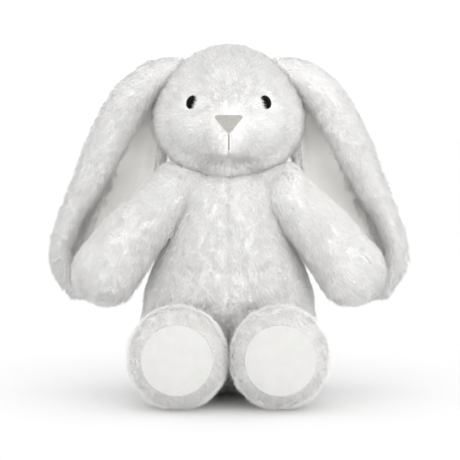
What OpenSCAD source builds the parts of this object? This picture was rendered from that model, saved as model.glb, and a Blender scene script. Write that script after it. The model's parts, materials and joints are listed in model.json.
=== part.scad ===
// Seated plush bunny with long drooping ears, sewn from cut fabric panels over fibre filling.
// Millimetres, +Z up. The toy faces -Y and its own left side is at +X.
// The origin is the centre of the flat seat panel's underside, on the surface that the toy sits on.

/* [Covers] */
// Thickness of the fur fabric panels, backing and packed pile together
wall = 3; // [2.4:0.2:3.6]
// Gap between a filling and the cover round it
fill_gap = 0.3; // [0.2:0.1:0.5]
// Play round each ball-shaped limb root, where the seam thread lies
seam_play = 2; // [1.8:0.1:2.4]

/* [Body] */
// Half the width of the body across the hips
hip_half_w = 71; // [66:1:72]
// Half the depth of the body at the belly
belly_half_d = 60; // [57:1:61]
// Radius of the round seat panel
seat_r = 31; // [28:1:31]

/* [Head] */
// Half the width of the skull, above the cheeks
skull_half_w = 56; // [53:1:57]
// Radius of the ball at the foot of the head, which nests in the top of the body
neck_r = 24; // [22:1:25]
// Half the width of the strip of fabric that runs over the crown
gusset_half_w = 19; // [16:1:22]

/* [Face] */
// Diameter of the domed safety eyes
eye_d = 12; // [10:0.5:13]
// Half the distance between the eyes
eye_x = 29.5; // [28:0.5:31]
// Width of the embroidered nose along its top edge
nose_w = 22; // [18:1:24]
// Height of the embroidered nose
nose_h = 14; // [12:1:16]
// Length of the mouth stitch under the nose
mouth_len = 13; // [10:1:15]

/* [Ears] */
// Distance from the fold of an ear to its outer rim, where it is widest
ear_reach = 44; // [38:1:45]
// Thickness of the fur layer of an ear
ear_fur_t = 6; // [5:0.5:7]
// Thickness of the smooth lining of an ear
ear_lining_t = 2; // [1.5:0.1:2.5]

/* [Limbs] */
// Radius of an arm at the shoulder
shoulder_r = 20; // [19:0.5:20.5]
// Radius of a paw
paw_r = 27; // [24:1:28]
// Radius of a leg at the hip
hip_r = 26; // [24:1:26]
// Radius of a foot
foot_r = 39.5; // [37:0.5:39.5]
// Radius of the smooth pad on the sole
pad_r = 28; // [25:1:29]

/* [Tail] */
// Radius of the round tail
tail_r = 17; // [14:1:18]

/* [Hidden] */

FUR = [0.96, 0.96, 0.95];
SMOOTH = [0.98, 0.97, 0.94];
FIBRE = [0.90, 0.92, 0.94];
THREAD = [0.93, 0.92, 0.90];

big = 700;        // a half-space's box is this wide, more than twice the whole toy
inner = wall + fill_gap;
thread_r = 0.6;   // radius of the doubled seam thread
eps = 0.05;

// Joint centres
neck = [0, 3, 194];
shoulder = [48, -12, 163];
hip = [38, -30, 29];
ear_hinge = [40.4, 8, 276.3];
tail_centre = [0, 66, 42];

// Degrees that a leg swings down and up, and spreads outwards
leg_down = 45;
leg_up = 8;
leg_spread = 22;

// Each soft form is the hull of a few ellipsoids: [centre, half-sizes]
body_form = [
    [[0, 0, 50], [hip_half_w, belly_half_d, 60]],
    [[0, -1, 78], [hip_half_w - 3, belly_half_d - 1, 45]],
    [[0, 2, 122], [55, 49, 38]],
    [[0, 4, 163], [49, 38, 25]]
];
head_form = [
    [[0, 5, 240], [skull_half_w, 47, 50]],
    [[25, 0, 226], [37, 34, 38]],
    [[-25, 0, 226], [37, 34, 38]],
    [[0, -40, 217], [22, 22, 22]]
];
arm_form = [
    [shoulder, shoulder_r * [1, 1, 1]],
    [[77, -24, 135], [24, 23, 24]],
    [[100, -33, 103], [paw_r, 25, paw_r]]
];

module blobs(form, less, detail = 24) {
    hull()
        for (b = form)
            translate(b[0])
                scale([b[1].x - less, b[1].y - less, b[1].z - less])
                    sphere(r = 1, $fn = detail);
}

module half_space(at, side) {
    // side is a unit step along one axis: the box fills everything on that side of the point
    translate(at + side * big / 2)
        cube(big, center = true);
}

module on_both_sides() {
    children();
    mirror([1, 0, 0])
        children();
}

module sewn_ring(centre, axis_turn, offset, ball_r) {
    // The seam thread round a limb's root: a ring in the play between the root and its socket
    ring_r = ball_r + seam_play / 2;
    translate(centre)
        rotate(axis_turn)
            translate([0, 0, offset])
                rotate_extrude($fn = 64)
                    translate([sqrt(ring_r * ring_r - offset * offset), 0])
                        circle(r = thread_r, $fn = 24);
}

// ---- Body ----

module body_solid(less) {
    intersection() {
        blobs(body_form, less);
        half_space([0, 0, less], [0, 0, 1]);
    }
}

module limb_sockets(more) {
    translate(neck)
        sphere(r = neck_r + seam_play + more, $fn = 64);
    translate(tail_centre)
        sphere(r = tail_r + eps * 10 + more, $fn = 64);
    on_both_sides() {
        translate(shoulder)
            sphere(r = shoulder_r + seam_play + more, $fn = 64);
        translate(hip)
            sphere(r = hip_r + seam_play + more, $fn = 64);
    }
}

module arm_pocket(more) {
    on_both_sides()
        blobs(arm_form, -more);
}

module leg_pocket(more) {
    // The belly is dented where the thighs lie, over the whole of their travel
    on_both_sides()
        hull() {
            translate(hip)
                sphere(r = hip_r + more, $fn = 24);
            for (lift = [-leg_up, 0, leg_down], spread = [0, leg_spread])
                translate(hip)
                    rotate([lift, 0, spread])
                        translate(foot_centre - hip)
                            scale([foot_r + more, 23 + more, foot_r + more])
                                sphere(r = 1, $fn = 24);
        }
}

module body_cover() {
    difference() {
        body_solid(0);
        body_solid(wall);
        limb_sockets(0);
        arm_pocket(1);
        leg_pocket(1);
        translate([0, 0, -eps])
            cylinder(r = seat_r, h = wall + 2 * eps, $fn = 96);
    }
}

module body_panel(side, face) {
    color(FUR)
        intersection() {
            body_cover();
            half_space([0, 0, 0], [side, 0, 0]);
            half_space([0, 2, 0], [0, face, 0]);
        }
}

module seat_panel() {
    color(FUR)
        cylinder(r = seat_r - eps, h = wall, $fn = 96);
}

bag_centre = [0, 18, 24];
bag_half_w = 26;
bag_half_h = 13;

module bag_solid(less) {
    round_r = bag_half_h - less;
    translate(bag_centre)
        rotate_extrude($fn = 72)
            difference() {
                union() {
                    translate([bag_half_w - bag_half_h, 0])
                        circle(r = round_r, $fn = 48);
                    translate([0, -round_r])
                        square([bag_half_w - bag_half_h, 2 * round_r]);
                }
                translate([-big, -big / 2])
                    square([big, big]);
            }
}

module bean_bag_pouch() {
    color("ivory")
        difference() {
            bag_solid(0);
            bag_solid(1);
        }
}

module bean_bag_pellets() {
    color("white")
        bag_solid(1 + fill_gap);
}

module body_stuffing() {
    color(FIBRE)
        difference() {
            body_solid(inner);
            limb_sockets(fill_gap);
            arm_pocket(1 + fill_gap);
            leg_pocket(1 + fill_gap);
            bag_solid(-fill_gap);
        }
}

stitch_pitch = 5;
stitch_count = 9;

module back_closing_stitches() {
    // A ladder stitch up the middle of the back, where the toy was filled
    color(THREAD)
        intersection() {
            difference() {
                blobs(body_form, -0.8);
                blobs(body_form, -0.1);
            }
            for (i = [0 : stitch_count - 1])
                translate([0, 60, 78 + i * stitch_pitch])
                    cube([6, 40, 1], center = true);
        }
}

// ---- Head ----

module head_solid(less) {
    blobs(head_form, less);
    translate(neck)
        sphere(r = neck_r - less, $fn = 64);
}

// The eye's place on the cheek, and the way it looks: round to the side, forward and slightly up
eye_at = [eye_x, -38.2 + 0.78 * (eye_x - 29.5), 240];
eye_turn = [77, 0, 47];
shank_r = 2.4;
shank_len = 13;
washer_r = 7;

module eye_place(side) {
    mirror([side < 0 ? 1 : 0, 0, 0])
        translate(eye_at)
            rotate(eye_turn)
                children();
}

module head_cover() {
    difference() {
        head_solid(0);
        head_solid(wall);
        for (side = [-1, 1])
            eye_place(side) {
                translate([0, 0, -shank_len])
                    cylinder(r = shank_r + 0.1, h = shank_len + 1, $fn = 48);
                cylinder(r = eye_d / 2 + 0.2, h = wall, $fn = 64);
            }
    }
}

module gusset_zone(less) {
    // The strip over the crown, from the nose to the nape
    translate([0, 0, neck.z + big / 2 + 42])
        cube([2 * (gusset_half_w - less), big, big], center = true);
}

module head_side_panel(side) {
    color(FUR)
        difference() {
            intersection() {
                head_cover();
                half_space([0, 0, 0], [side, 0, 0]);
            }
            gusset_zone(0);
        }
}

module head_gusset() {
    color(FUR)
        intersection() {
            head_cover();
            gusset_zone(0);
        }
}

module head_stuffing() {
    color(FIBRE)
        difference() {
            head_solid(inner);
            for (side = [-1, 1])
                eye_place(side)
                    translate([0, 0, -shank_len - 2])
                        cylinder(r = washer_r + 0.6, h = shank_len + 4, $fn = 48);
        }
}

module safety_eye(side) {
    dome_h = 3.4;
    dome_sphere_r = (eye_d * eye_d / 4 + dome_h * dome_h) / (2 * dome_h);
    color([0.03, 0.03, 0.03])
        eye_place(side) {
            intersection() {
                translate([0, 0, dome_h - dome_sphere_r + 0.8])
                    sphere(r = dome_sphere_r, $fn = 64);
                translate([0, 0, 0.8])
                    cylinder(r = eye_d, h = eye_d, $fn = 64);
            }
            translate([0, 0, 0.1])
                cylinder(r = eye_d / 2, h = 0.7, $fn = 64);
            translate([0, 0, -shank_len])
                cylinder(r = shank_r - 0.1, h = shank_len + 0.2, $fn = 48);
            for (i = [1 : 4])
                translate([0, 0, -shank_len + i * 1.5])
                    cylinder(r = shank_r, h = 0.6, $fn = 48);
        }
}

module eye_washer(side) {
    color("whitesmoke")
        eye_place(side)
            translate([0, 0, -wall - 3.2])
                difference() {
                    cylinder(r = washer_r, h = 1.6, $fn = 64);
                    translate([0, 0, -eps])
                        cylinder(r = shank_r + 0.05, h = 2, $fn = 48);
                }
}

nose_top_z = 230;
face_reach = 50;   // how far the embroidery's outlines are carried front to back
nose_round = 1.5;

module face_skin(from, to) {
    // The thin layer that embroidery fills, lying on the head's surface
    difference() {
        blobs(head_form, -to);
        blobs(head_form, -from);
    }
}

module nose_embroidery() {
    half = nose_w / 2 - nose_round;
    color([0.80, 0.78, 0.76])
        intersection() {
            face_skin(0.1, 1.3);
            translate([0, -face_reach, nose_top_z])
                rotate([90, 0, 0])
                    linear_extrude(height = face_reach)
                        hull() {
                            for (x = [-half, half])
                                translate([x, -nose_round])
                                    circle(r = nose_round, $fn = 24);
                            translate([0, nose_round - nose_h])
                                circle(r = nose_round, $fn = 24);
                        }
        }
}

module mouth_stitch() {
    color([0.78, 0.75, 0.72])
        intersection() {
            face_skin(0.1, 1.1);
            translate([0, -face_reach, nose_top_z - nose_h - mouth_len / 2 - 0.1])
                cube([1.4, face_reach, mouth_len], center = true);
        }
}

// ---- Ears ----
// An ear is a sheet that leaves the head sideways, turns over and hangs, spreading towards its
// tip. It is folded lengthwise: at each station down the ear, the sheet runs from the inner rim
// through the fold to the outer rim.

ear_stations = [
    [[43.4, 20, 271], [43.4, 8, 274], [43.4, -4, 275]],
    [[56, 28, 262], [62, 14, 268], [60, -5, 270]],
    [[57, 26, 243], [70, 28, 246], [85, 1, 255]],
    [[58, 20, 212], [74, 36, 212], [107, 4, 223]],
    [[64, 20, 168], [85, 36, 166], [125, 6, 178]],
    [[83, 24, 124], [104, 32, 122], [143, 10, 132]],
    [[96, 26, 100], [113, 30, 99], [146, 14, 105]],
    [[108, 28, 83], [119, 26, 79], [132, 20, 79]]
];
last_station = len(ear_stations) - 1;
band_from = 0.45;   // the fur is turned over onto the front beyond this share of the way
band_t = 3;         // thickness of that band
ear_steps = 18;     // rows of the sheet, from the root to the tip

// The smooth curve through one rim's, or the fold's, points
function ear_rail(side, s) =
    let (
        i = max(0, min(last_station - 1, floor(s))),
        f = s - i,
        b = ear_stations[i][side],
        c = ear_stations[i + 1][side],
        a = i > 0 ? ear_stations[i - 1][side] : 2 * b - c,
        d = i < last_station - 1 ? ear_stations[i + 2][side] : 2 * c - b
    )
        b + f / 2 * (c - a) + f * f / 2 * (2 * a - 5 * b + 4 * c - d)
        + f * f * f / 2 * (3 * b - a - 3 * c + d);

// The sheet's middle surface: u is -1 at the inner rim, 0 at the fold and 1 at the outer rim
function ear_surface(s, u) =
    let (
        fold = ear_rail(1, s),
        inner_rim = ear_rail(0, s) - fold,
        outer_rim = (ear_rail(2, s) - fold) * ear_reach / 44
    )
        fold + u / 2 * (outer_rim - inner_rim) + u * u / 2 * (outer_rim + inner_rim);

function unit(v) = v / norm(v);
function ear_point(s, u, depth) =
    let (
        along = ear_surface(s + 0.01, u) - ear_surface(s - 0.01, u),
        across = ear_surface(s, u + 0.01) - ear_surface(s, u - 0.01)
    )
        ear_surface(s, u) + depth * unit(cross(along, across));

module ear_sheet(from_s, to_s, us, backs, fronts) {
    // A closed sheet between two depths at each place across it, towards the lining's side
    rows = ear_steps;
    cols = len(us) - 1;
    per_side = (rows + 1) * (cols + 1);
    points = [
        for (depths = [backs, fronts], i = [0 : rows], j = [0 : cols])
            ear_point(from_s + (to_s - from_s) * i / rows, us[j], depths[j])
    ];
    function at(side, i, j) = side * per_side + i * (cols + 1) + j;
    function quad(a, b, c, d) = [[a, b, c], [a, c, d]];
    rims = [
        for (i = [0 : rows - 1])
            each concat(
                quad(at(0, i, 0), at(1, i, 0), at(1, i + 1, 0), at(0, i + 1, 0)),
                quad(at(0, i, cols), at(0, i + 1, cols), at(1, i + 1, cols), at(1, i, cols))
            ),
        for (j = [0 : cols - 1])
            each concat(
                quad(at(0, 0, j), at(0, 0, j + 1), at(1, 0, j + 1), at(1, 0, j)),
                quad(at(0, rows, j), at(1, rows, j), at(1, rows, j + 1), at(0, rows, j + 1))
            )
    ];
    skins = [
        for (i = [0 : rows - 1], j = [0 : cols - 1])
            each concat(
                quad(at(0, i, j), at(0, i + 1, j), at(0, i + 1, j + 1), at(0, i, j + 1)),
                quad(at(1, i, j), at(1, i, j + 1), at(1, i + 1, j + 1), at(1, i + 1, j))
            )
    ];
    polyhedron(points = points, faces = concat(rims, skins), convexity = 6);
}

fur_us = [-1, -0.75, -0.5, -0.25, 0, 0.22, band_from, band_from + 0.1, 0.75, 0.9, 1];
lining_us = [-0.92, -0.7, -0.45, -0.2, 0, 0.2, band_from - 0.02];

module ear_fur() {
    color(FUR)
        ear_sheet(
            0, last_station, fur_us,
            [for (u = fur_us) -ear_fur_t * (1 - 0.3 * u * u)],
            [for (u = fur_us) u > band_from ? band_t * (u < 0.95 ? 1 : 0.4) : 0]
        );
}

module ear_lining() {
    color(SMOOTH)
        ear_sheet(
            0.8, last_station - 0.35, lining_us,
            [for (u = lining_us) 2 * fill_gap],
            [for (u = lining_us) 2 * fill_gap + ear_lining_t]
        );
}

module ear_seam_thread() {
    // The row of stitches that holds the base of the ear, along the line that the ear turns on
    color(THREAD)
        translate(ear_hinge)
            rotate([90, 0, 0])
                cylinder(r = 2 * thread_r, h = 16, center = true, $fn = 32);
}

// ---- Arms ----

module arm_panel(face) {
    // The front and back panels meet along the top and the underside of the arm
    color(FUR)
        intersection() {
            difference() {
                blobs(arm_form, 0);
                blobs(arm_form, wall);
            }
            translate(shoulder)
                rotate([0, 0, -24])
                    half_space([0, 0, 0], [0, face, 0]);
        }
}

module arm_stuffing() {
    color(FIBRE)
        blobs(arm_form, inner, 20);
}

module shoulder_seam_thread() {
    color(THREAD)
        sewn_ring(shoulder, [0, 90, 0], -17.6, shoulder_r);
}

// ---- Legs ----

foot_centre = [foot_r + 0.5, -92, foot_r + 2];
sole_y = -116;

module leg_solid(less) {
    hull() {
        translate(hip)
            sphere(r = hip_r - less, $fn = 24);
        translate(foot_centre)
            scale([foot_r - less, 23 - less, foot_r - less])
                sphere(r = 1, $fn = 28);
        translate([foot_centre.x, sole_y + less, foot_centre.z])
            rotate([-90, 0, 0])
                cylinder(r = pad_r, h = 1, $fn = 28);
    }
}

module leg_panel(face) {
    // The top and bottom panels meet along both sides of the leg; the pad closes the sole
    color(FUR)
        intersection() {
            difference() {
                leg_solid(0);
                leg_solid(wall);
                translate([foot_centre.x, sole_y - eps, foot_centre.z])
                    rotate([-90, 0, 0])
                        cylinder(r = pad_r - 1.5, h = wall + 2 * eps, $fn = 96);
            }
            half_space([0, 0, foot_centre.z - 4], [0, 0, face]);
        }
}

module foot_pad() {
    // A smooth disc, crowned by the filling behind it
    disc_r = pad_r - 1.6;
    crown = 3;
    crown_sphere_r = (disc_r * disc_r + crown * crown) / (2 * crown);
    color(SMOOTH)
        translate([foot_centre.x, sole_y + wall, foot_centre.z])
            rotate([90, 0, 0])
                rotate_extrude($fn = 96)
                    intersection() {
                        square([disc_r, wall + crown]);
                        translate([0, wall + crown - crown_sphere_r])
                            circle(r = crown_sphere_r, $fn = 360);
                    }
}

module leg_stuffing() {
    color(FIBRE)
        leg_solid(inner);
}

module hip_seam_thread() {
    color(THREAD)
        sewn_ring(hip, [90, 0, 0], -17.4, hip_r);
}

// ---- Tail ----

module tail_cover() {
    color(FUR)
        translate(tail_centre)
            difference() {
                sphere(r = tail_r, $fn = 64);
                sphere(r = tail_r - wall, $fn = 64);
            }
}

module tail_stuffing() {
    color(FIBRE)
        translate(tail_centre)
            sphere(r = tail_r - inner, $fn = 64);
}

module neck_seam_thread() {
    color(THREAD)
        sewn_ring(neck, [0, 0, 0], -17, neck_r);
}

module on_left() {
    children();
}

module on_right() {
    mirror([1, 0, 0])
        children();
}

body_panel(1, -1);  // body_front_left_panel
body_panel(-1, -1);  // body_front_right_panel
body_panel(1, 1);  // body_back_left_panel
body_panel(-1, 1);  // body_back_right_panel
seat_panel();
body_stuffing();
bean_bag_pouch();
bean_bag_pellets();
back_closing_stitches();
neck_seam_thread();
head_side_panel(1);  // head_left_panel
head_side_panel(-1);  // head_right_panel
head_gusset();
head_stuffing();
safety_eye(1);  // left_eye
safety_eye(-1);  // right_eye
eye_washer(1);  // left_eye_washer
eye_washer(-1);  // right_eye_washer
nose_embroidery();
mouth_stitch();
on_left() ear_fur();  // left_ear_fur
on_right() ear_fur();  // right_ear_fur
on_left() ear_lining();  // left_ear_lining
on_right() ear_lining();  // right_ear_lining
on_left() ear_seam_thread();  // left_ear_seam_thread
on_right() ear_seam_thread();  // right_ear_seam_thread
on_left() arm_panel(-1);  // left_arm_front_panel
on_right() arm_panel(-1);  // right_arm_front_panel
on_left() arm_panel(1);  // left_arm_back_panel
on_right() arm_panel(1);  // right_arm_back_panel
on_left() arm_stuffing();  // left_arm_stuffing
on_right() arm_stuffing();  // right_arm_stuffing
on_left() shoulder_seam_thread();  // left_shoulder_seam_thread
on_right() shoulder_seam_thread();  // right_shoulder_seam_thread
on_left() leg_panel(1);  // left_leg_top_panel
on_right() leg_panel(1);  // right_leg_top_panel
on_left() leg_panel(-1);  // left_leg_bottom_panel
on_right() leg_panel(-1);  // right_leg_bottom_panel
on_left() foot_pad();  // left_foot_pad
on_right() foot_pad();  // right_foot_pad
on_left() leg_stuffing();  // left_leg_stuffing
on_right() leg_stuffing();  // right_leg_stuffing
on_left() hip_seam_thread();  // left_hip_seam_thread
on_right() hip_seam_thread();  // right_hip_seam_thread
tail_cover();
tail_stuffing();
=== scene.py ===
# %% [markdown]
# # A plush bunny, sewn and brushed in Blender
#
# A plush toy is three things on top of each other: a padded skin that the filling pushes tight,
# a pile of fine hairs woven into that skin, and small hard or stitched details. This file makes
# them in that order, on a frame that was designed beforehand and isn't changed here.

# %% Load the frame
import json
import math

import bpy
import numpy as np
from mathutils import Matrix, Vector
from mathutils.kdtree import KDTree

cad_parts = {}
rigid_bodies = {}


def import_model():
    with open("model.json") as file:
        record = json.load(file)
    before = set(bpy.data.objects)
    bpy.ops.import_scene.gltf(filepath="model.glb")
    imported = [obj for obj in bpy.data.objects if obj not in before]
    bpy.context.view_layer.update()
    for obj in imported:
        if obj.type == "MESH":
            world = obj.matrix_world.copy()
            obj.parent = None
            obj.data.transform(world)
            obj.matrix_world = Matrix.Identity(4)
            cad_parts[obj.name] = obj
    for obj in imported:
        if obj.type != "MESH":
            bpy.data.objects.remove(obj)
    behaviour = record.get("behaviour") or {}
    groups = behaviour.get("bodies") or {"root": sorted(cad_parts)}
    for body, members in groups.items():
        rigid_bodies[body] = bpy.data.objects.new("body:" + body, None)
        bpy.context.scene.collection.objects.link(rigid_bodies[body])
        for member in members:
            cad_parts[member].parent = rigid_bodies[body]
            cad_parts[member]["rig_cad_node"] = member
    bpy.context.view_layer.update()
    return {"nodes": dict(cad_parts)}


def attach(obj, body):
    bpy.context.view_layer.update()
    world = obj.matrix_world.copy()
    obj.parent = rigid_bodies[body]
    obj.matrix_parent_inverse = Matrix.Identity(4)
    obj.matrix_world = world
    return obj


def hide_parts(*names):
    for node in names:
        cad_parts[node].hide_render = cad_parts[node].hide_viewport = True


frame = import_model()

MM = 0.001
SIDES = (("left", 1), ("right", -1))
scene = bpy.context.scene
nodes = frame["nodes"]


def deselect():
    bpy.ops.object.select_all(action="DESELECT")


def pick(obj):
    """Makes one object the only one selected, and the active one."""
    deselect()
    obj.select_set(True)
    bpy.context.view_layer.objects.active = obj


def report(obj):
    box = np.array(obj.bound_box) / MM
    size = np.round(np.ptp(box, axis=0), 1)
    print(f"{obj.name}: {len(obj.data.polygons)} faces, {size} mm")


deselect()

# %% [markdown]
# ## Camera, light and floor
#
# The toy is seen from the front and a little above, through a long lens, as a catalogue shows
# it. White on white only works when the light is soft. A bright room all round keeps the pile
# white, and two low lamps in front reach what faces down or sits deep between the limbs. Light
# has to bounce many times from hair to hair before it is lost, or the pile turns grey.

# %% Camera
VIEW_TILT = math.radians(4)
VIEW_DISTANCE = 1.486
VIEW_CENTRE = Vector((0.001, 0, 0.1346))

bpy.ops.object.camera_add(
    location=VIEW_CENTRE
    + VIEW_DISTANCE * Vector((0, -math.cos(VIEW_TILT), math.sin(VIEW_TILT))),
    rotation=(math.pi / 2 - VIEW_TILT, 0, 0),
)
camera = bpy.context.object
camera.data.lens = 140
scene.camera = camera
print("camera at", [round(v, 3) for v in camera.location])

# %% Light
ROOM_LIGHT = 1.27

scene.view_settings.view_transform = "Standard"
world = bpy.data.worlds.new("studio")
scene.world = world
world.use_nodes = True
world.node_tree.nodes["Background"].inputs["Color"].default_value = (1, 1, 1, 1)
world.node_tree.nodes["Background"].inputs["Strength"].default_value = ROOM_LIGHT
scene.cycles.diffuse_bounces = 16
scene.cycles.max_bounces = 20


def softbox(name, location, target, size, power):
    bpy.ops.object.light_add(type="AREA", location=location)
    lamp = bpy.context.object
    lamp.name = name
    lamp.data.shape = "RECTANGLE"
    lamp.data.size, lamp.data.size_y = size
    lamp.data.energy = power
    aim = Vector(target) - Vector(location)
    lamp.rotation_euler = aim.to_track_quat("-Z", "Y").to_euler()
    print(name, "gives", power, "W")


softbox("top_lamp", (0, 0.1, 1.5), (0, 0, 0.1), (1.4, 1.2), 0.4)
softbox("left_lamp", (-0.9, -1.3, 0.14), (0, 0, 0.06), (1.0, 0.25), 5.0)
softbox("right_lamp", (1.1, -1.25, 0.14), (0, 0, 0.06), (1.0, 0.25), 8.8)

# %% Floor
FLOOR_RADIUS = 12

bpy.ops.mesh.primitive_circle_add(vertices=96, radius=FLOOR_RADIUS, fill_type="NGON")
floor = bpy.context.object
floor.name = "floor"

# %% [markdown]
# ## Materials
#
# Every cloth here is white or nearly so, and what tells them apart is their grain: the pile
# has none of its own, because its hairs are real shapes, the velour has a fine nap, and thread
# is twisted. So one function makes them all, from a patchy colour and a bump of a given size.

# %% A function that makes a cloth


def cloth(name, dark, light, patch=25, grain=0.6, depth=0.1, roughness=0.9, sheen=0.0,
          ridged=None):
    """Colour varies over patches, and the grain is a bump, both in millimetres.

    ridged is the axis that straight threads lie across, where the grain is laid thread."""
    mat = bpy.data.materials.new(name)
    mat.use_nodes = True
    tree = mat.node_tree
    shader = tree.nodes["Principled BSDF"]
    shader.inputs["Roughness"].default_value = roughness
    shader.inputs["Sheen Weight"].default_value = sheen
    shader.inputs["Sheen Roughness"].default_value = 0.5
    shader.inputs["Specular IOR Level"].default_value = 0.3
    coords = tree.nodes.new("ShaderNodeTexCoord").outputs["Object"]
    noise = tree.nodes.new("ShaderNodeTexNoise")
    noise.inputs["Scale"].default_value = 1 / (patch * MM)
    noise.inputs["Detail"].default_value = 3
    ramp = tree.nodes.new("ShaderNodeValToRGB")
    ramp.color_ramp.elements[0].position = 0.3
    ramp.color_ramp.elements[0].color = (*dark, 1)
    ramp.color_ramp.elements[1].position = 0.7
    ramp.color_ramp.elements[1].color = (*light, 1)
    tree.links.new(coords, noise.inputs["Vector"])
    tree.links.new(noise.outputs["Fac"], ramp.inputs["Fac"])
    tree.links.new(ramp.outputs["Color"], shader.inputs["Base Color"])
    if depth:
        if ridged:
            texture = tree.nodes.new("ShaderNodeTexWave")
            texture.bands_direction = ridged
            texture.inputs["Scale"].default_value = 2 * math.pi / (20 * grain * MM)
            texture.inputs["Distortion"].default_value = 0.6
        else:
            texture = tree.nodes.new("ShaderNodeTexNoise")
            texture.inputs["Scale"].default_value = 1 / (grain * MM)
        bump = tree.nodes.new("ShaderNodeBump")
        bump.inputs["Strength"].default_value = 1
        bump.inputs["Distance"].default_value = depth * MM
        tree.links.new(coords, texture.inputs["Vector"])
        tree.links.new(texture.outputs["Fac"], bump.inputs["Height"])
        tree.links.new(bump.outputs["Normal"], shader.inputs["Normal"])
    return mat


# %% The toy's cloths and threads
PILE = cloth("white_pile", (0.975, 0.969, 0.958), (0.99, 0.987, 0.982), patch=30, depth=0)
BACKING = cloth("pile_backing", (0.79, 0.782, 0.768), (0.84, 0.834, 0.822), grain=0.9,
                depth=0.25)
SOLE_VELOUR = cloth("sole_velour", (0.52, 0.516, 0.504), (0.55, 0.546, 0.536), patch=9,
                    grain=0.7, depth=0.12, sheen=0.25)
EAR_VELOUR = cloth("ear_velour", (0.93, 0.915, 0.885), (0.96, 0.95, 0.93), patch=14, grain=0.7,
                   depth=0.12, sheen=0.25)
NOSE_THREAD = cloth("nose_thread", (0.37, 0.355, 0.338), (0.44, 0.423, 0.405), patch=2.5,
                    grain=0.62, depth=0.22, roughness=0.6, sheen=0.15, ridged="X")
MOUTH_THREAD = cloth("mouth_thread", (0.3, 0.285, 0.265), (0.36, 0.345, 0.325), patch=2,
                     grain=0.9, depth=0.15, roughness=0.65, ridged="DIAGONAL")
SEAM_THREAD = cloth("seam_thread", (0.84, 0.83, 0.81), (0.9, 0.89, 0.87), patch=3, grain=0.8,
                    depth=0.12, roughness=0.7, ridged="DIAGONAL")
FIBRE = cloth("filling_fibre", (0.86, 0.87, 0.88), (0.95, 0.955, 0.96), patch=6, grain=1.6,
              depth=0.9)
POUCH = cloth("pouch_cotton", (0.8, 0.77, 0.7), (0.88, 0.85, 0.78), patch=12, grain=0.9,
              depth=0.12, ridged="X")
PELLETS = cloth("pellet_grains", (0.82, 0.82, 0.82), (0.94, 0.94, 0.94), patch=2.4, grain=2.4,
                depth=1.2, roughness=0.45)
WASHER = cloth("moulded_washer", (0.8, 0.8, 0.8), (0.86, 0.86, 0.86), patch=4, grain=0.4,
               depth=0.02, roughness=0.4)
FLOOR = cloth("floor_paper", (0.79, 0.79, 0.79), (0.792, 0.792, 0.792), patch=400, depth=0)
floor.data.materials.append(FLOOR)

EYE_BLACK = cloth("eye_black", (0.001, 0.001, 0.001), (0.003, 0.0028, 0.0028), patch=5, depth=0,
                  roughness=0.07)
EYE_BLACK.node_tree.nodes["Principled BSDF"].inputs["Specular IOR Level"].default_value = 0.06
print(len(bpy.data.materials), "materials")

# %% [markdown]
# ## Padded skins
#
# A filled skin has no edges: it swells until the cloth is tight, and it is pulled in only
# along its seams. Each skin starts as overlapping balls that are remeshed into one closed
# surface. A cloth simulation then presses it out from inside, as filling does. The seams are
# drawn in afterwards, because remeshing would wipe them out.

# %% Helpers that shape a skin


def verts(obj):
    co = np.empty(len(obj.data.vertices) * 3)
    obj.data.vertices.foreach_get("co", co)
    return co.reshape(-1, 3) / MM


def vert_normals(obj):
    normals = np.empty(len(obj.data.vertices) * 3)
    obj.data.vertices.foreach_get("normal", normals)
    return normals.reshape(-1, 3)


def set_verts(obj, co):
    obj.data.vertices.foreach_set("co", (co * MM).ravel())
    obj.data.update()


def apply(obj, kind, **settings):
    """Adds a modifier, sets it and applies it."""
    pick(obj)
    modifier = obj.modifiers.new(kind.lower(), kind)
    for key, value in settings.items():
        setattr(modifier, key, value)
    bpy.ops.object.modifier_apply(modifier=modifier.name)


def ball(centre, radii):
    bpy.ops.mesh.primitive_uv_sphere_add(
        segments=48, ring_count=24, radius=1, location=Vector(centre) * MM
    )
    piece = bpy.context.object
    piece.scale = Vector(radii) * MM
    bpy.ops.object.transform_apply(location=True, rotation=True, scale=True)
    return piece


def join(name, pieces):
    deselect()
    for piece in pieces:
        piece.select_set(True)
    bpy.context.view_layer.objects.active = pieces[0]
    bpy.ops.object.join()
    whole = bpy.context.object
    whole.name = whole.data.name = name
    return whole


def between(keys, steps):
    """Balls strung between key balls, each key being (centre, radii)."""
    table = np.array([[*centre, *radii] for centre, radii in keys], float)
    spots = np.linspace(0, len(keys) - 1, steps)
    rows = np.stack([np.interp(spots, range(len(keys)), column) for column in table.T], 1)
    return [(row[:3], row[3:]) for row in rows]


def fuse(name, balls, voxel=4, rounds=10):
    """Joins overlapping balls into one smooth closed skin."""
    skin = join(name, [ball(centre, radii) for centre, radii in balls])
    apply(skin, "REMESH", mode="VOXEL", voxel_size=voxel * MM)
    apply(skin, "SMOOTH", factor=0.5, iterations=rounds)
    return skin


# %% A helper that fills a skin
FILL_PRESSURE = 4
FILL_FRAMES = 20


def plump(skin, cap):
    """Presses the skin out from inside, by no more than cap millimetres, and rounds it off."""
    before = verts(skin)
    pick(skin)
    filling = skin.modifiers.new("filling", "CLOTH")
    filling.settings.use_pressure = True
    filling.settings.uniform_pressure_force = FILL_PRESSURE
    filling.settings.effector_weights.gravity = 0
    for step in range(1, FILL_FRAMES + 1):
        scene.frame_set(step)
    bpy.ops.object.modifier_apply(modifier=filling.name)
    scene.frame_set(1)
    move = verts(skin) - before
    far = np.linalg.norm(move, axis=1)[:, None] + 1e-9
    set_verts(skin, before + move * np.minimum(1, cap / far))
    apply(skin, "SUBSURF", levels=1, render_levels=1)
    print(f"{skin.name} swelled by {far.mean():.1f} mm, held to {cap}")


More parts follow.
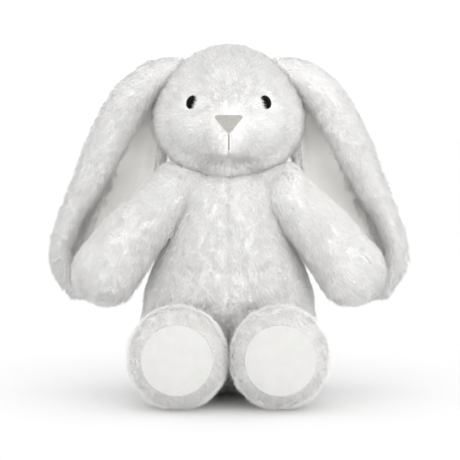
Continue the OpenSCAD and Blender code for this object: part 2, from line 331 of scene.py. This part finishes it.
def draw_in(skin, distance, depth, width):
    """Pulls the skin in along a seam. distance gives each point's distance from the seam."""
    co = verts(skin)
    near = np.clip(1 - distance(co) / width, 0, 1)
    set_verts(skin, co - vert_normals(skin) * (depth * near ** 1.5)[:, None])


def mirrored(piece, name):
    """A copy on the toy's other side, with a mesh of its own."""
    twin = piece.copy()
    twin.data = piece.data.copy()
    twin.name = twin.data.name = name
    twin.data.transform(Matrix.Scale(-1, 4, (1, 0, 0)))
    twin.data.flip_normals()
    scene.collection.objects.link(twin)
    return twin


def dress(piece, material, body, slot, *stands_for):
    """Gives a finished piece its material and its body. slot is not used."""
    piece.data.materials.clear()
    piece.data.materials.append(material)
    pick(piece)
    bpy.ops.object.shade_smooth()
    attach(piece, body)
    if stands_for:
        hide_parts(*stands_for)
    report(piece)


# %% [markdown]
# ## Pile
#
# Long-pile plush is brushed after sewing. Its hairs stand up a little, lie one way, and cling
# together in locks that each go their own way. Particle hair would give that, but it doesn't
# survive an export, so every hair here is a thin three-sided spike of real mesh. Its sides
# are shaded flat: they are too narrow to tell apart, and flat sides lose no light.

# %% A function that grows hair
FAR = 99
HAIRS_A_PIECE = 49000
ROOT_DEPTH = 0.5
FLOOR_GAP = 0.4


def scatter(skin, density, rng):
    """Random places on the skin, so many to a square centimetre, and the ways they face."""
    mesh = skin.data
    mesh.calc_loop_triangles()
    co, normals = verts(skin), vert_normals(skin)
    tris = np.empty(len(mesh.loop_triangles) * 3, np.int32)
    mesh.loop_triangles.foreach_get("vertices", tris)
    tris = tris.reshape(-1, 3)
    a, b, c = co[tris[:, 0]], co[tris[:, 1]], co[tris[:, 2]]
    area = np.linalg.norm(np.cross(b - a, c - a), axis=1) / 2
    count = int(density * area.sum() / 100)
    face = rng.choice(len(tris), count, p=area / area.sum())
    w1, w2 = np.sqrt(rng.random(count)), rng.random(count)
    weights = np.stack([1 - w1, w1 * (1 - w2), w1 * w2], 1)
    root = np.einsum("ij,ijk->ik", weights, co[tris[face]])
    up = np.einsum("ij,ijk->ik", weights, normals[tris[face]])
    return root, unit(up)


def unit(v):
    return v / (np.linalg.norm(v, axis=-1, keepdims=True) + 1e-9)


def nearest(points, candidates):
    """For each point, the number of the nearest candidate."""
    tree = KDTree(len(candidates))
    for i, place in enumerate(candidates):
        tree.insert(place, i)
    tree.balance()
    return np.array([tree.find(p)[1] for p in points])


def spikes(name, root, up, tip, radius):
    """One mesh of closed three-sided spikes."""
    n = len(root)
    along = unit(tip - root)
    sideways = unit(np.cross(up, along))
    above = np.cross(along, sideways)
    foot = root - up * ROOT_DEPTH
    ring = []
    for k in range(3):
        angle = 2 * math.pi * k / 3 + 0.5
        ring.append(foot + (math.cos(angle) * sideways + math.sin(angle) * above) * radius)
    points = np.stack(ring + [tip], 1)
    base = np.arange(n)[:, None] * 4
    faces = ((0, 2, 1), (0, 1, 3), (1, 2, 3), (2, 0, 3))
    corners = np.concatenate([base + np.array(f) for f in faces], 1)
    mesh = bpy.data.meshes.new(name)
    mesh.vertices.add(n * 4)
    mesh.vertices.foreach_set("co", (points * MM).ravel())
    mesh.loops.add(corners.size)
    mesh.loops.foreach_set("vertex_index", corners.ravel().astype(np.int32))
    mesh.polygons.add(n * 4)
    mesh.polygons.foreach_set("loop_start", np.arange(0, n * 12, 3, dtype=np.int32))
    mesh.update(calc_edges=True)
    mesh.materials.append(PILE)
    piece = bpy.data.objects.new(name, mesh)
    scene.collection.objects.link(piece)
    return piece


def grow(name, skin, body, comb, length, density=150, keep=None, lift=0.36, droop=0.1, lock=36,
         clump=0.14, stray=0.2, wild=0.3, radius=0.28, seed=1):
    """Plants tapered hairs all over a skin and brushes them.

    comb and length are functions of the roots' places and of the ways they face, in
    millimetres. lock is how many hairs cling together, clump how strongly, and stray how far
    a lock goes its own way."""
    rng = np.random.default_rng(seed)
    root, up = scatter(skin, density, rng)
    if keep is not None:
        chosen = keep(root, up)
        root, up = root[chosen], up[chosen]
    n = len(root)
    leaders = rng.choice(n, max(4, n // lock), replace=False)
    mine = nearest(root, root[leaders])
    lock_way = rng.normal(0, stray, (len(leaders), 3))
    lock_lift = rng.normal(0, 0.025, len(leaders))
    lock_long = rng.uniform(0.85, 1.15, len(leaders))
    flow = comb(root, up) + lock_way[mine] + rng.normal(0, wild, (n, 3))
    flow = unit(flow - up * np.sum(flow * up, axis=1, keepdims=True))
    long = length(root, up) * lock_long[mine] * rng.uniform(0.72, 1.1, n)
    base_lift = lift(root, up) if callable(lift) else lift
    rise = np.clip(base_lift + lock_lift[mine] + rng.normal(0, 0.07, n), 0.06, 0.95)[:, None]
    tip = root + long[:, None] * (up * rise + flow * np.sqrt(1 - rise ** 2))
    tip[:, 2] -= droop * long
    tip += clump * (tip[leaders][mine] - tip) * (long[:, None] > 4)
    tip[:, 2] = np.maximum(tip[:, 2], FLOOR_GAP)
    order = np.argsort(root[:, 2], kind="stable")
    parts = math.ceil(n / HAIRS_A_PIECE)
    for number, chosen in enumerate(np.array_split(order, parts), 1):
        label = name if parts == 1 else f"{name}_{number}"
        piece = spikes(label, root[chosen], up[chosen], tip[chosen], radius)
        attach(piece, body)
        report(piece)


def toward(direction):
    """A comb that draws all hairs one way."""
    return lambda root, up: np.tile(np.array(direction, float), (len(root), 1))


def same(value):
    return lambda root, up: np.full(len(root), float(value))


# %% [markdown]
# ## Head
#
# The head is a wide ball with full cheeks and a short muzzle. Two side panels and a strip over
# the crown are sewn together, and the eyes' washers pull the skin in behind each eye. On the
# muzzle the pile is clipped short and brushed away from the nose.

# %% Head skin
GUSSET_HALF = 19
NOSE = np.array([0, -61, 224])
EYES = np.array([[29.5, -38.2, 240], [-29.5, -38.2, 240]])

head_skin = fuse("head_skin", [
    ((0, 5, 234), (58.5, 47, 49.5)),
    ((0, 5, 252), (43, 41, 34.5)),
    ((27, -2, 214), (26, 29, 29.5)),
    ((-27, -2, 214), (26, 29, 29.5)),
    ((25, 0, 226), (36.5, 34, 37.5)),
    ((-25, 0, 226), (36.5, 34, 37.5)),
    ((17, -22, 226), (30, 26, 28)),
    ((-17, -22, 226), (30, 26, 28)),
    ((0, -33, 221), (26, 26, 24)),
    ((0, -40, 218), (21.5, 22, 21)),
    ((0, 3, 194), (27, 27, 24)),
])
plump(head_skin, 1.5)


def chin_cleft(co):
    in_chin = (co[:, 2] < 214) & (co[:, 1] < -30)
    return np.where(in_chin, np.abs(co[:, 0]), FAR)


def gusset_seams(co):
    over_crown = co[:, 2] > 236
    return np.where(over_crown, np.abs(np.abs(co[:, 0]) - GUSSET_HALF), FAR)


for eye in EYES:
    draw_in(head_skin, lambda co: np.linalg.norm(co - eye, axis=1), 2.2, 17)
for eye in EYES:
    draw_in(head_skin, lambda co: np.linalg.norm(co - eye * [0.73, 1.12, 1], axis=1), -3.2, 9)
draw_in(head_skin, chin_cleft, 2.4, 7)
draw_in(head_skin, gusset_seams, 0.8, 5)
dress(head_skin, BACKING, "head", "fur",
      "head_left_panel", "head_right_panel", "head_gusset", "head_stuffing")

# %% Head pile


def eye_gap(points):
    return np.min([np.linalg.norm(points - eye, axis=1) for eye in EYES], axis=0)


def face_comb(root, up):
    """Away from the nose and the mouth in front, and down behind."""
    behind = np.clip((root[:, 1] + 5) / 25, 0, 1)[:, None]
    aside = np.zeros_like(root)
    aside[:, 0] = 1.5 * np.sign(root[:, 0]) * beside_mouth(root, 7)
    return (1 - behind) * (unit(root - NOSE) + aside + [0, 0.25, -0.1]) + behind * [0, 0.2, -1]


def beside_mouth(root, reach):
    level = (root[:, 2] > 203) & (root[:, 2] < 219)
    return level & (np.abs(root[:, 0]) < reach) & (root[:, 1] < -40)


def face_length(root, up):
    far = np.linalg.norm(root - NOSE, axis=1)
    long = np.interp(far, [8, 20, 45, 90], [4, 6.5, 8, 9])
    to_eye = np.clip((eye_gap(root) - 4) * 1.1, 1, FAR)
    long = np.where(beside_eye(root) > 0, np.minimum(long, to_eye), long)
    return np.where(beside_mouth(root, 4.5), 0.6 * long, long)


def beside_eye(root):
    """1 at the rim of an eye, on the side towards the nose, falling to 0 around it."""
    inside = np.abs(root[:, 0]) < 29.5
    return np.clip(1 - (eye_gap(root) - 5) / 5, 0, 1) * inside


def face_lift(root, up):
    return 0.42 + 0.1 * beside_eye(root)


def face_keep(root, up):
    nose_half = (root[:, 2] - 215.5) * 0.72
    on_nose = (np.abs(root[:, 0]) < nose_half) & (root[:, 2] < 229) & (root[:, 1] < -40)
    off_eyes = eye_gap(root) > 6.2 - 1.2 * beside_eye(root)
    return off_eyes & ~on_nose & ~beside_mouth(root, 1.7)


grow("head_pile", head_skin, "head", face_comb, face_length, keep=face_keep, lift=face_lift,
     stray=0.12, clump=0.1, seed=11)

# %% [markdown]
# ## Face
#
# The eyes are domed buttons of polished black plastic, made in CAD, and only need their
# gloss. The nose is satin stitch: threads laid side by side over padding, so it stands proud
# and is ridged from top to bottom. Its CAD solid is too thin to show that, so a copy is
# remeshed, rounded off and pushed forward.

# %% Nose and mouth
MUZZLE = np.array([0, 0, 222])


def stitched_copy(node, name, material, proud, voxel=0.5, rounds=4):
    """A copy of a CAD stitch, pushed out from the middle of the head, most along its middle."""
    piece = nodes[node].copy()
    piece.data = nodes[node].data.copy()
    piece.name = piece.data.name = name
    scene.collection.objects.link(piece)
    del piece["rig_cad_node"]
    piece.parent = None
    pick(piece)
    bpy.ops.object.mode_set(mode="EDIT")
    bpy.ops.mesh.select_all(action="SELECT")
    bpy.ops.mesh.remove_doubles(threshold=0.02 * MM)
    bpy.ops.object.mode_set(mode="OBJECT")
    apply(piece, "REMESH", mode="VOXEL", voxel_size=voxel * MM)
    apply(piece, "SMOOTH", factor=0.5, iterations=rounds)
    co = verts(piece)
    off_middle = np.abs(co[:, 0] - (co[:, 0].max() + co[:, 0].min()) / 2)
    crown = np.clip(1 - off_middle / (np.ptp(co[:, 0]) / 2 + 0.01), 0, 1) ** 0.5
    co += unit(co - MUZZLE) * (proud * (0.55 + 0.45 * crown))[:, None]
    set_verts(piece, co)
    dress(piece, material, "head", "face_thread", node)


stitched_copy("nose_embroidery", "nose_satin", NOSE_THREAD, 1.6)
stitched_copy("mouth_stitch", "mouth_thread", MOUTH_THREAD, 2.2, voxel=0.35, rounds=2)

# %% [markdown]
# ## Body
#
# The body is a pear: narrow at the shoulders, widest at the hips, flat where it sits. Its two
# front panels meet in a seam down the middle, and a dart folds the belly over the lap.

# %% Body skin
pear = between([
    ((0, 0, 49), (73, 59, 49)),
    ((0, -1, 80), (69, 57, 45)),
    ((0, 2, 122), (55, 48, 38)),
    ((0, 3, 158), (50, 38, 29)),
], 13)
shoulders = [((side * 41, -1, 170), (24, 24, 23.5)) for side in (-1, 1)]
lap = [((0, -28, 56), (34, 40, 46))]
body_skin = fuse("body_skin", pear + shoulders + lap, voxel=4.5)
plump(body_skin, 1.5)
co = verts(body_skin)
co[:, 2] = np.maximum(co[:, 2], 0.6)
set_verts(body_skin, co)


def front_seam(co):
    return np.where(co[:, 1] < 0, np.abs(co[:, 0]), FAR)


def back_seam(co):
    return np.where(co[:, 1] > 0, np.abs(co[:, 0]), FAR)


def lap_dart(co):
    over_lap = (co[:, 1] < 0) & (np.abs(co[:, 0] - 4) < 44)
    return np.where(over_lap, np.abs(co[:, 2] - 106 - 0.04 * co[:, 0]), FAR)


draw_in(body_skin, front_seam, 0.9, 5)
draw_in(body_skin, back_seam, 1.2, 5)
draw_in(body_skin, lap_dart, 1.6, 9)
dress(body_skin, BACKING, "torso", "fur", "body_front_left_panel", "body_front_right_panel",
      "body_back_left_panel", "body_back_right_panel", "seat_panel", "body_stuffing")

# %% Body pile


def body_keep(root, up):
    under_seat = (root[:, 2] < 3) & (up[:, 2] < -0.8)
    in_neck = (root[:, 2] > 176) & (np.hypot(root[:, 0], root[:, 1] - 3) < 22)
    return ~under_seat & ~in_neck


grow("body_pile", body_skin, "torso", toward((0, -0.1, -1)), same(8), keep=body_keep, seed=12)

# %% [markdown]
# ## Arms
#
# Each arm is one long pad, sewn from two panels, that hangs outwards and ends in a full paw.
# The left one is filled once and copied to the other side with its own mesh. The pile is
# planted afresh on each, because no two arms are brushed alike.

# %% Arms
ARM_WAY = unit(np.array([52.0, -21.0, -60.0]))

left_arm = fuse("left_arm_skin", between([
    ((47, -12, 165), (20.5, 20.5, 20.5)),
    ((77, -24, 134), (23.5, 22.5, 23.5)),
    ((99.5, -33, 104), (26, 24.5, 26.5)),
], 10))
plump(left_arm, 1.2)
arms = {"left": left_arm, "right": mirrored(left_arm, "right_arm_skin")}
for side, sign in SIDES:
    dress(arms[side], BACKING, f"{side}_arm", "fur", f"{side}_arm_front_panel",
          f"{side}_arm_back_panel", f"{side}_arm_stuffing")
    way = ARM_WAY * [sign, 1, 1]
    grow(f"{side}_arm_pile", arms[side], f"{side}_arm", toward(way), same(9), lift=0.38,
         stray=0.26, lock=60, seed=20 + sign)

# %% [markdown]
# ## Legs
#
# The legs stick straight out and end in big round feet. The sole is a separate disc of smooth
# velour, crowned by the filling behind it and sewn in a ring, with the pile of the foot
# standing out all round it.

# %% Leg skins
FOOT = np.array([40.0, -92.0, 41.5])
SOLE_Y = -114.5
PAD_R = 28.0

left_leg = fuse("left_leg_skin", between([
    ((38, -32, 30), (26, 26, 27)),
    ((39, -62, 35), (31.5, 25, 32)),
    (FOOT, (38.5, 22, 40)),
], 9) + [(FOOT + [0, -6, 0], (36, 19, 37))])
plump(left_leg, 1.2)
co = verts(left_leg)
co[:, 1] = np.maximum(co[:, 1], SOLE_Y)
co[:, 2] = np.maximum(co[:, 2], 0.8)
set_verts(left_leg, co)
legs = {"left": left_leg, "right": mirrored(left_leg, "right_leg_skin")}
for side, sign in SIDES:
    dress(legs[side], BACKING, f"{side}_leg", "fur", f"{side}_leg_top_panel",
          f"{side}_leg_bottom_panel", f"{side}_leg_stuffing")

# %% Sole pads
PUCKERS = 34

bpy.ops.mesh.primitive_cylinder_add(
    vertices=96, radius=PAD_R * MM, depth=3 * MM,
    location=Vector((FOOT[0], SOLE_Y, FOOT[2])) * MM, rotation=(math.pi / 2, 0, 0),
)
left_pad = bpy.context.object
left_pad.name = left_pad.data.name = "left_sole_pad"
bpy.ops.object.transform_apply(location=True, rotation=True, scale=True)
bpy.ops.object.mode_set(mode="EDIT")
bpy.ops.mesh.select_all(action="SELECT")
bpy.ops.mesh.normals_make_consistent(inside=False)
bpy.ops.mesh.select_mode(type="FACE")
bpy.ops.mesh.select_all(action="DESELECT")
bpy.ops.object.mode_set(mode="OBJECT")
for face in left_pad.data.polygons:
    face.select = face.normal.y < -0.9
bpy.ops.object.mode_set(mode="EDIT")
for step in (1, 1, 1.2, 1.6, 2.4, 3.2, 3.6, 4, 4):
    bpy.ops.mesh.inset(thickness=step * MM)
bpy.ops.object.mode_set(mode="OBJECT")
co = verts(left_pad)
x, z = co[:, 0] - FOOT[0], co[:, 2] - FOOT[2]
r = np.hypot(x, z)
theta = np.arctan2(z, x)
front = co[:, 1] < SOLE_Y
crown = 3.2 * np.clip(1 - (r / PAD_R) ** 2.6, 0, 1) - 0.2
pucker = 0.35 * np.sin(PUCKERS * theta) * np.exp(-((r - PAD_R + 3) / 1.8) ** 2)
co[:, 1] = np.where(front, SOLE_Y - 0.3 - crown - pucker, co[:, 1])
set_verts(left_pad, co)
apply(left_pad, "SUBSURF", levels=1, render_levels=1)
pads = {"left": left_pad, "right": mirrored(left_pad, "right_sole_pad")}
for side, sign in SIDES:
    dress(pads[side], SOLE_VELOUR, f"{side}_leg", "smooth_velour", f"{side}_foot_pad")

# %% Leg pile
for side, sign in SIDES:
    foot = FOOT * [sign, 1, 1]

    def sole_distance(root):
        return np.hypot(root[:, 0] - foot[0], root[:, 2] - foot[2])

    def foot_comb(root, up):
        """Forward along the leg, then out from the sole."""
        out = root - foot
        out[:, 1] = 0
        toward_sole = np.clip((-96 - root[:, 1]) / 18, 0, 1)[:, None]
        return (1 - toward_sole) * [0, -1, -0.1] + toward_sole * (unit(out) + [0, -0.3, 0])

    def leg_keep(root, up):
        on_pad = (root[:, 1] < SOLE_Y + 2) & (sole_distance(root) < PAD_R - 0.8)
        return ~on_pad & ~((root[:, 2] < 2) & (up[:, 2] < -0.9))

    grow(f"{side}_leg_pile", legs[side], f"{side}_leg", foot_comb, same(8), keep=leg_keep,
         lift=0.42, seed=30 + sign)

# %% [markdown]
# ## Ears
#
# An ear is a sheet folded lengthwise: it leaves the head sideways, turns over and hangs. Its
# back is pile, which is rolled over onto the front along the outer rim, and its front is lined
# with velour. Three smooth rails, the two rims and the fold between them, give its shape, and
# the sheets are grids laid over them. The roll is a string of overlapping balls that thins
# towards the tip. It starts at the hinge, so a lifted ear stays joined to the head.

# %% Rails of the ear
STATIONS = np.array([
    [[43.4, 20, 271], [43.4, 8, 274], [43.4, -4, 275]],
    [[56, 28, 262], [62, 14, 268], [60, -5, 270]],
    [[57, 26, 243], [70, 28, 246], [85, 1, 255]],
    [[58, 20, 212], [74, 36, 212], [107, 4, 223]],
    [[64, 20, 168], [85, 36, 166], [125, 6, 178]],
    [[83, 24, 124], [104, 32, 122], [143, 10, 132]],
    [[96, 26, 100], [113, 30, 99], [146, 14, 105]],
    [[108, 28, 83], [119, 26, 79], [132, 20, 79]],
], float)
LAST = len(STATIONS) - 1


def ear_surface(s, u):
    """Points on the ear: s runs from 0 at the root to LAST at the tip, and u from -1 at the
    inner rim through 0 at the fold to 1 at the outer rim."""
    i = np.clip(np.floor(s).astype(int), 0, LAST - 1)
    f = (s - i)[:, None, None]
    padded = np.concatenate([
        2 * STATIONS[:1] - STATIONS[1:2], STATIONS, 2 * STATIONS[-1:] - STATIONS[-2:-1]
    ])
    a, b, c, d = (padded[i + k] for k in range(4))
    rails = (b + f / 2 * (c - a) + f ** 2 / 2 * (2 * a - 5 * b + 4 * c - d)
             + f ** 3 / 2 * (3 * b - a - 3 * c + d))
    fold = rails[:, 1]
    inner, outer = rails[:, 0] - fold, rails[:, 2] - fold
    u = u[:, None]
    return fold + u / 2 * (outer - inner) + u ** 2 / 2 * (outer + inner)


def ear_frame(s, u):
    """The place, the way down the ear, and the way the lining faces."""
    step = 0.01
    down = unit(ear_surface(s + step, u) - ear_surface(s - step, u))
    across = unit(ear_surface(s, u + step) - ear_surface(s, u - step))
    return ear_surface(s, u), down, unit(np.cross(down, across))


def band_edge(s):
    """How far over the front the pile comes, as u at its edge."""
    return np.interp(s, [0, 1, 2, 3, 4, 6, 7], [-0.9, -0.75, -0.15, 0.32, 0.45, 0.42, 0.3])


def ear_sheet(name, s_range, u_range, depth, thickness, cells=(28, 64)):
    """A grid laid over the ear. u_range is a function of s, and depth is towards the lining."""
    bpy.ops.mesh.primitive_grid_add(x_subdivisions=cells[0], y_subdivisions=cells[1], size=2)
    sheet = bpy.context.object
    sheet.name = sheet.data.name = name
    flat = verts(sheet) * MM
    s = s_range[0] + (flat[:, 1] + 1) / 2 * (s_range[1] - s_range[0])
    low, high = u_range(s)
    u = low + (flat[:, 0] + 1) / 2 * (high - low)
    place, down, front = ear_frame(s, u)
    set_verts(sheet, place + front * np.asarray(depth(s, u))[:, None])
    pick(sheet)
    bpy.ops.object.mode_set(mode="EDIT")
    bpy.ops.mesh.select_all(action="SELECT")
    bpy.ops.mesh.normals_make_consistent(inside=False)
    bpy.ops.object.mode_set(mode="OBJECT")
    middle = len(s) // 2
    if np.dot(vert_normals(sheet)[middle], front[middle]) < 0:
        sheet.data.flip_normals()
    if thickness:
        apply(sheet, "SOLIDIFY", thickness=thickness * MM, offset=-1)
    return sheet


# %% Ear skins


def back_rims(s):
    """Both rims start near the fold, so that the sheet has no corners at the root."""
    return -np.interp(s, [0.8, 1.6], [0.5, 1]), np.interp(s, [0.8, 2], [0.1, 1])


back_sheet = ear_sheet("ear_back", (0.8, LAST), back_rims, lambda s, u: 0 * s, 6)
turned_edge = [ball(centre, radii) for centre, radii in between([
    ((41, 9, 268), (8, 13, 8)),
    ((51, 10, 264.5), (12, 17, 11.5)),
    ((64, 11, 258.5), (14, 20, 14)),
    ((78, 8, 246), (15, 18, 15)),
    ((92, 2, 223), (14, 11, 14)),
    ((104, 3, 199), (13, 10, 13)),
    ((116, 5, 173), (10.5, 9, 11)),
    ((130, 9, 147), (8, 8, 9)),
    ((139, 13, 121), (7, 7, 8)),
    ((138, 17, 100), (7, 6, 8)),
    ((126, 22, 84), (7, 6, 6)),
], 44)]
left_ear = join("left_ear_skin", [back_sheet, *turned_edge])
apply(left_ear, "REMESH", mode="VOXEL", voxel_size=1.8 * MM)
apply(left_ear, "SMOOTH", factor=0.5, iterations=8)
ears = {"left": left_ear, "right": mirrored(left_ear, "right_ear_skin")}

grid_s, grid_u = (g.ravel() for g in np.meshgrid(np.linspace(0, LAST, 90), np.linspace(-1, 1, 30)))
grid_place, grid_down, grid_front = ear_frame(grid_s, grid_u)

# %% Ear lining
PLEATS = 1.1


def lining_depth(s, u):
    """Lies on the ear, with two long soft pleats."""
    pleat = np.sin(2.4 * math.pi * (u + 0.12 * np.sin(0.9 * s)) + 0.35 * s)
    return 2.2 + PLEATS * pleat * np.clip((s - 1.5) / 2, 0, 1) * np.clip((1 - u ** 2) * 1.5, 0, 1)


left_lining = ear_sheet("left_ear_velour", (1.2, LAST - 0.3),
                        lambda s: (-0.96 + 0 * s, band_edge(s) + 0.1), lining_depth, 0, (40, 90))
apply(left_lining, "SOLIDIFY", thickness=1.2 * MM, offset=-1)
apply(left_lining, "SUBSURF", levels=1, render_levels=1)
linings = {"left": left_lining, "right": mirrored(left_lining, "right_ear_velour")}

# %% Ear pile
for side, sign in SIDES:
    dress(ears[side], BACKING, f"{side}_ear", "fur", f"{side}_ear_fur")
    dress(linings[side], EAR_VELOUR, f"{side}_ear", "smooth_velour", f"{side}_ear_lining")
    flip = np.array([sign, 1, 1])
    near = {}

    def on_ear(root):
        key = len(root)
        if key not in near:
            near[key] = nearest(root * flip, grid_place)
        return near[key]

    def ear_keep(root, up):
        k = on_ear(root)
        s, u = grid_s[k], grid_u[k]
        faces_lining = np.sum(up * flip * grid_front[k], axis=1) > 0.25
        return ~(faces_lining & (u < band_edge(s)) & (u > -0.93) & (s < 6.75))

    def ear_comb(root, up):
        k = on_ear(root)
        return (grid_down[k] + [0.35, 0.1, 0]) * flip

    grow(f"{side}_ear_pile", ears[side], f"{side}_ear", ear_comb, same(8.5), keep=ear_keep,
         lift=0.36, droop=0.12, seed=40 + sign)

# %% [markdown]
# ## Tail
#
# The tail is a plain ball at the back, with pile that stands out all round like a pompon.

# %% Tail
tail_skin = fuse("tail_skin", [((0, 66, 42), (16.5, 16.5, 16.5))], voxel=2.5, rounds=4)
plump(tail_skin, 0.8)
dress(tail_skin, BACKING, "tail", "fur", "tail_cover", "tail_stuffing")
grow("tail_pile", tail_skin, "tail", toward((0, 0.3, -1)), same(8), lift=0.55, stray=0.8, seed=51)

# %% [markdown]
# ## The parts made in CAD
#
# The eyes, washers, threads and bean bag have their true shapes already. They keep their
# meshes and only change their finish.

# %% Finishes for the CAD parts
CAD_FINISHES = {
    "eye_washer": WASHER, "eye": EYE_BLACK, "thread": SEAM_THREAD, "stitches": SEAM_THREAD,
    "stuffing": FIBRE, "pouch": POUCH, "pellets": PELLETS,
}
for name, part in nodes.items():
    finish = next((mat for ending, mat in CAD_FINISHES.items() if name.endswith(ending)), None)
    if finish:
        part.data.materials.clear()
        part.data.materials.append(finish)
print(sum(name.endswith(tuple(CAD_FINISHES)) for name in nodes), "CAD parts finished")
